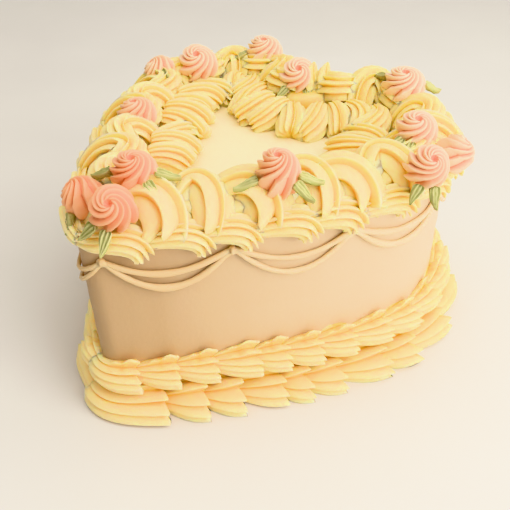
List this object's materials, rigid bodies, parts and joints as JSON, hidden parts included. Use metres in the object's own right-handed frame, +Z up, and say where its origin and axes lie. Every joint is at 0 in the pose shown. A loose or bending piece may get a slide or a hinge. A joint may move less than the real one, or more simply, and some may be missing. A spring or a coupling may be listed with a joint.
{
  "type": "heart shaped cake",
  "caption": "Heart shaped layer cake with smooth iced sides, piped shell borders, draped string work, swirled roses and small leaves round the top.",
  "frame": {"origin": "centre of the part's bounding box, on the surface it stands on", "axes": "+Z up, -Y towards the heart's tip, +Y towards its two lobes, +X towards its right lobe"},
  "size_m": [0.2496, 0.2576, 0.1433],
  "materials": {
    "smooth_icing": "pale cream buttercream, smoothed with a scraper",
    "piped_cream": "pale yellow buttercream, piped through a star tip",
    "pink_cream": "soft coral pink buttercream, piped in swirls",
    "green_cream": "pale green buttercream, piped in leaves"
  },
  "bodies": {
    "root": {"base_border_lower": "piped_cream", "base_border_upper": "piped_cream", "cake": "smooth_icing", "leaf_01": "green_cream", "leaf_02": "green_cream", "leaf_03": "green_cream", "leaf_04": "green_cream", "leaf_05": "green_cream", "leaf_06": "green_cream", "leaf_07": "green_cream", "leaf_08": "green_cream", "leaf_09": "green_cream", "leaf_10": "green_cream", "leaf_11": "green_cream", "leaf_12": "green_cream", "leaf_13": "green_cream", "leaf_14": "green_cream", "leaf_15": "green_cream", "leaf_16": "green_cream", "leaf_17": "green_cream", "leaf_18": "green_cream", "leaf_19": "green_cream", "leaf_20": "green_cream", "leaf_21": "green_cream", "leaf_22": "green_cream", "leaf_23": "green_cream", "rose_01": "pink_cream", "rose_02": "pink_cream", "rose_03": "pink_cream", "rose_04": "pink_cream", "rose_05": "pink_cream", "rose_06": "pink_cream", "rose_07": "pink_cream", "rose_08": "pink_cream", "rose_09": "pink_cream", "rose_10": "pink_cream", "rose_11": "pink_cream", "rose_12": "pink_cream", "rose_13": "pink_cream", "string_work": "smooth_icing", "top_border_crest": "piped_cream", "top_border_edge": "piped_cream", "top_border_inner": "piped_cream"}
  },
  "joints": []
}
